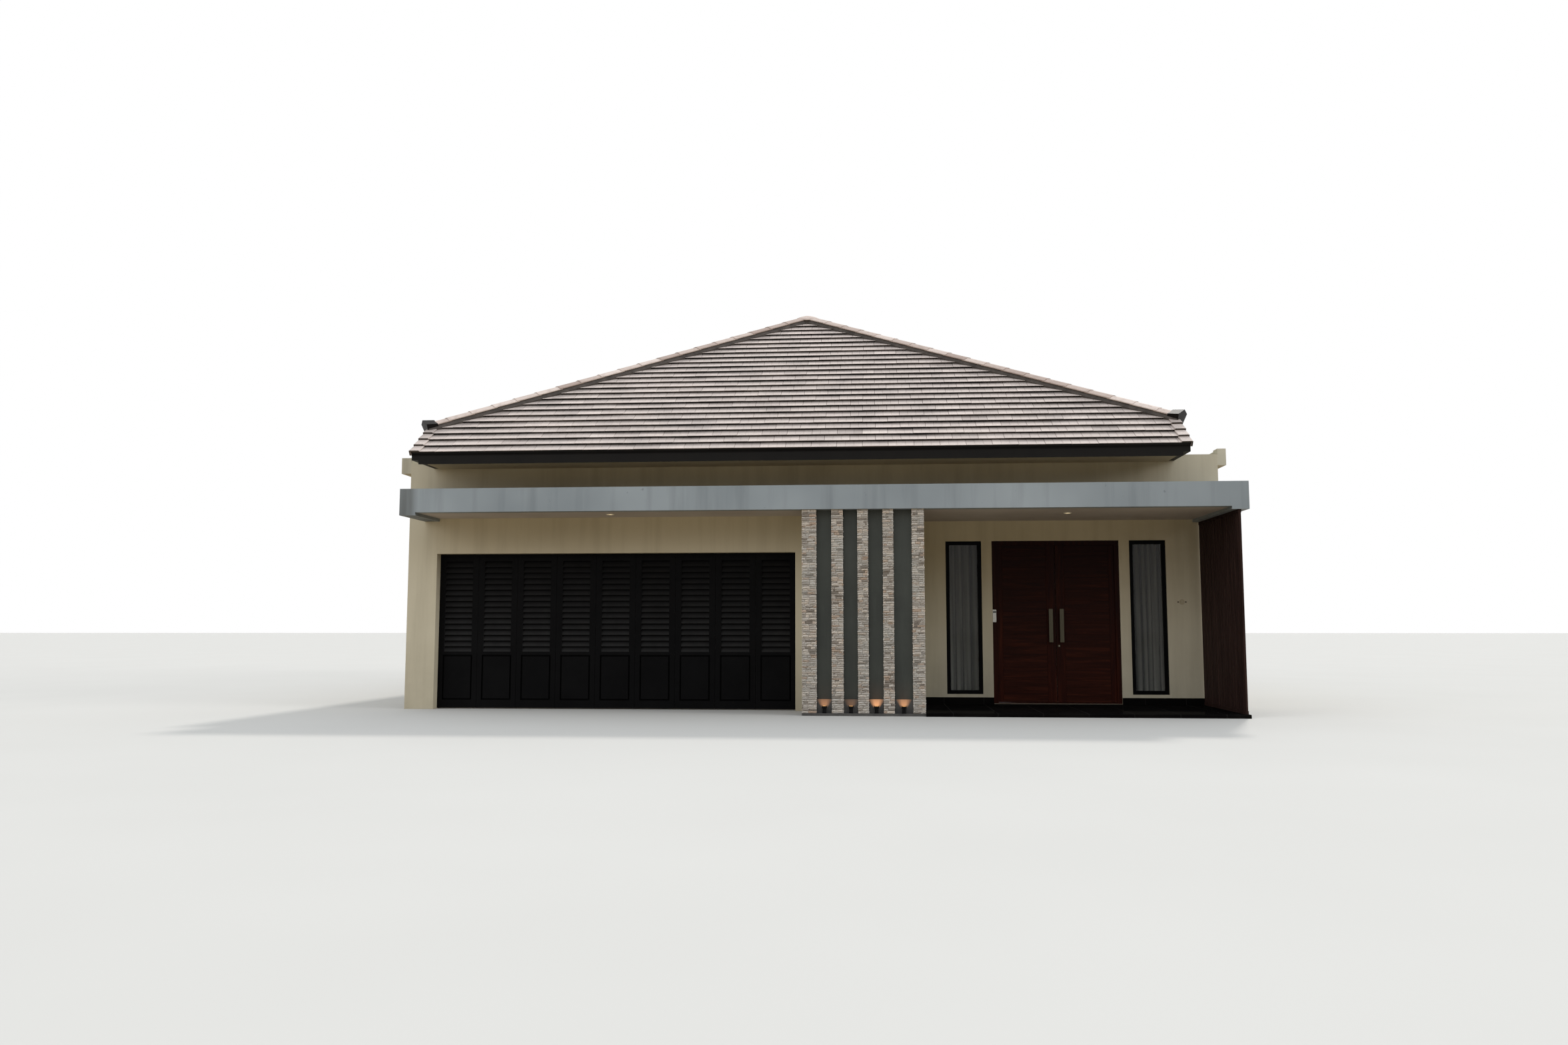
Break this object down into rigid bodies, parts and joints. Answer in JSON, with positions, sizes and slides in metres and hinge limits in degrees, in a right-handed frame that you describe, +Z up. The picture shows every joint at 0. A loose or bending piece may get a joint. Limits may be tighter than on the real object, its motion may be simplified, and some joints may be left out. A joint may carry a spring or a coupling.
{
  "type": "detached house",
  "caption": "Detached bungalow with a hip roof, a louvred folding garage door, stone fins, a deep canopy and a recessed porch entrance.",
  "frame": {"origin": "on the ground plane at the middle of the roof's plan, which is the middle of the walls' depth", "axes": "+X runs to the right along the front seen from outside, the front with the garage door and the porch faces -Y, and +Z is up"},
  "size_m": [12.2, 13.929, 6.795],
  "materials": {
    "cream_render": "painted cement render, matte",
    "canopy_paint": "grey exterior paint, slightly streaked",
    "soffit_paint": "white ceiling paint, matte",
    "niche_paint": "dark greenish grey panels",
    "roof_tile": "flat concrete tiles, warm grey-brown",
    "cap_tile": "pale pinkish beige cap tiles",
    "cladding_stone": "split ledge stone, light grey-beige",
    "dark_stone": "dark stone plinth and kerb",
    "black_granite": "polished black granite",
    "black_board": "near-black painted board",
    "floor_tile": "plain floor tile",
    "dark_metal": "charcoal powder coat, satin",
    "grey_steel": "brushed, satin",
    "red_wood": "dark red-brown varnished wood",
    "brown_board": "dark brown stained boards",
    "lamp_white": "opal lamp cover",
    "keypad_white": "white cover, smooth",
    "sheer_cloth": "sheer white curtain",
    "window_glass": "clear, slightly grey"
  },
  "bodies": {
    "root": {"canopy_front_beam": "canopy_paint", "canopy_side_beams": "canopy_paint", "canopy_slab": "soffit_paint", "ceiling_lights": "lamp_white", "ceiling_slab": "soffit_paint", "curtain_rails": "dark_metal", "door_frame": "red_wood", "door_keypad": "keypad_white", "eave_soffits": "soffit_paint", "feature_panel": "niche_paint", "feature_return_left": "cream_render", "feature_return_right": "cream_render", "front_slope": "roof_tile", "garage_door_leaves": "dark_metal", "garage_door_track": "dark_metal", "garage_floor": "floor_tile", "garage_lintel": "cream_render", "garage_piers": "cream_render", "hip_caps": "cap_tile", "house_floor": "floor_tile", "left_gutter": "cream_render", "left_slope": "roof_tile", "left_wall": "cream_render", "niche_kerb": "dark_stone", "niche_lights": "dark_metal", "porch_curtains": "sheer_cloth", "porch_screen": "brown_board", "porch_skirting": "black_granite", "porch_step": "black_granite", "porch_wall_left": "cream_render", "porch_wall_lintel": "cream_render", "porch_wall_right": "cream_render", "rear_slope": "roof_tile", "rear_wall": "cream_render", "ridge_cap": "cap_tile", "right_gutter": "cream_render", "right_slope": "roof_tile", "right_wall": "cream_render", "roof_fascias": "black_board", "stone_fins": "cladding_stone", "upper_front_wall": "cream_render", "verge_boards": "black_board", "verge_caps": "roof_tile", "window_frames": "dark_metal", "window_glass": "window_glass"},
    "left_leaf": {"left_door_leaf": "red_wood", "left_door_handle": "grey_steel"},
    "right_leaf": {"right_door_leaf": "red_wood", "right_door_handle": "grey_steel"}
  },
  "joints": [
    {"name": "left_door_hinge", "type": "hinge", "parent": "root", "child": "left_leaf", "pos_m": [3.0155, -4.8936, 0], "axis": [0, 0, 1], "range_deg": [0, 90]},
    {"name": "right_door_hinge", "type": "hinge", "parent": "root", "child": "right_leaf", "pos_m": [4.8095, -4.8936, 0], "axis": [0, 0, -1], "range_deg": [0, 90]}
  ]
}
